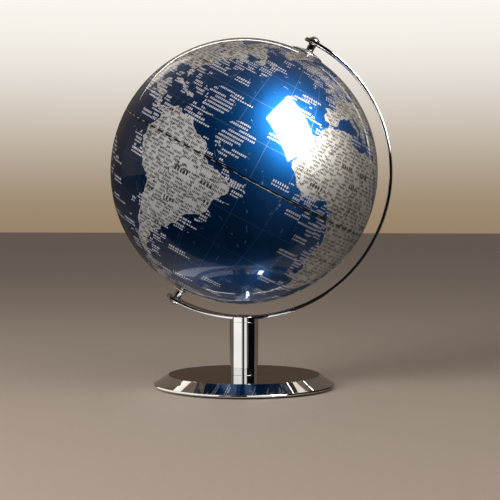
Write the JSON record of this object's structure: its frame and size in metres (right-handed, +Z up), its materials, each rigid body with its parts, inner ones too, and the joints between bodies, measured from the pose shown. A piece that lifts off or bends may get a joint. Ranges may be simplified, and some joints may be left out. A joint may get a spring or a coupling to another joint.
{
  "type": "desktop globe on stand",
  "caption": "Tilted globe ball that spins on polar pins in a semi-circular chromed meridian arc, on a short column over a round weighted base, with a turning hour dial.",
  "frame": {"origin": "centre of the base's underside, on the column's axis", "axes": "+Z up; the meridian arc lies in the XZ plane and the north end of the polar axis leans towards +X; the front of the stand faces -Y"},
  "size_m": [0.2635, 0.25, 0.328],
  "materials": {
    "printed_ball": "metallic map print under clear lacquer",
    "moulded_inner_plastic": "moulded",
    "bush_nylon": "moulded, satin",
    "dial_metal": "satin with printed scale",
    "bright_chrome": "polished chrome plate",
    "zinc_steel": "zinc plated",
    "cast_weight": "as cast, painted",
    "black_steel": "black powder coat",
    "foam_pad": "fine foam",
    "thrust_plastic": "natural acetal"
  },
  "bodies": {
    "stand": {"meridian_arc": "bright_chrome", "arc_screws": "zinc_steel", "column_head": "bright_chrome", "column_tube": "bright_chrome", "column_foot_plug": "moulded_inner_plastic", "tie_bolt": "zinc_steel", "tie_bolt_washer": "zinc_steel", "tie_bolt_lock_washer": "zinc_steel", "base_shell": "bright_chrome", "base_weight": "cast_weight", "base_floor_plate": "black_steel", "plate_screws": "zinc_steel", "base_pad": "foam_pad", "north_pivot_pin": "bright_chrome", "south_pivot_pin": "bright_chrome", "north_spacer": "bright_chrome", "south_spacer": "bright_chrome", "north_dome_nut": "bright_chrome", "south_dome_nut": "bright_chrome", "north_friction_washer": "thrust_plastic", "south_thrust_washer": "thrust_plastic"},
    "globe": {"northern_hemisphere": "printed_ball", "southern_hemisphere": "printed_ball", "joining_ring": "moulded_inner_plastic", "north_pole_bush": "bush_nylon", "south_pole_bush": "bush_nylon"},
    "hour_dial": {"hour_dial": "dial_metal"}
  },
  "joints": [
    {"name": "globe_spin", "type": "hinge", "parent": "stand", "child": "globe", "pos_m": [0, 0, 0.202], "axis": [0.4772, 0, 0.8788], "continuous": true},
    {"name": "hour_dial_turn", "type": "hinge", "parent": "globe", "child": "hour_dial", "pos_m": [0, 0, 0.202], "axis": [0.4772, 0, 0.8788], "continuous": true}
  ]
}
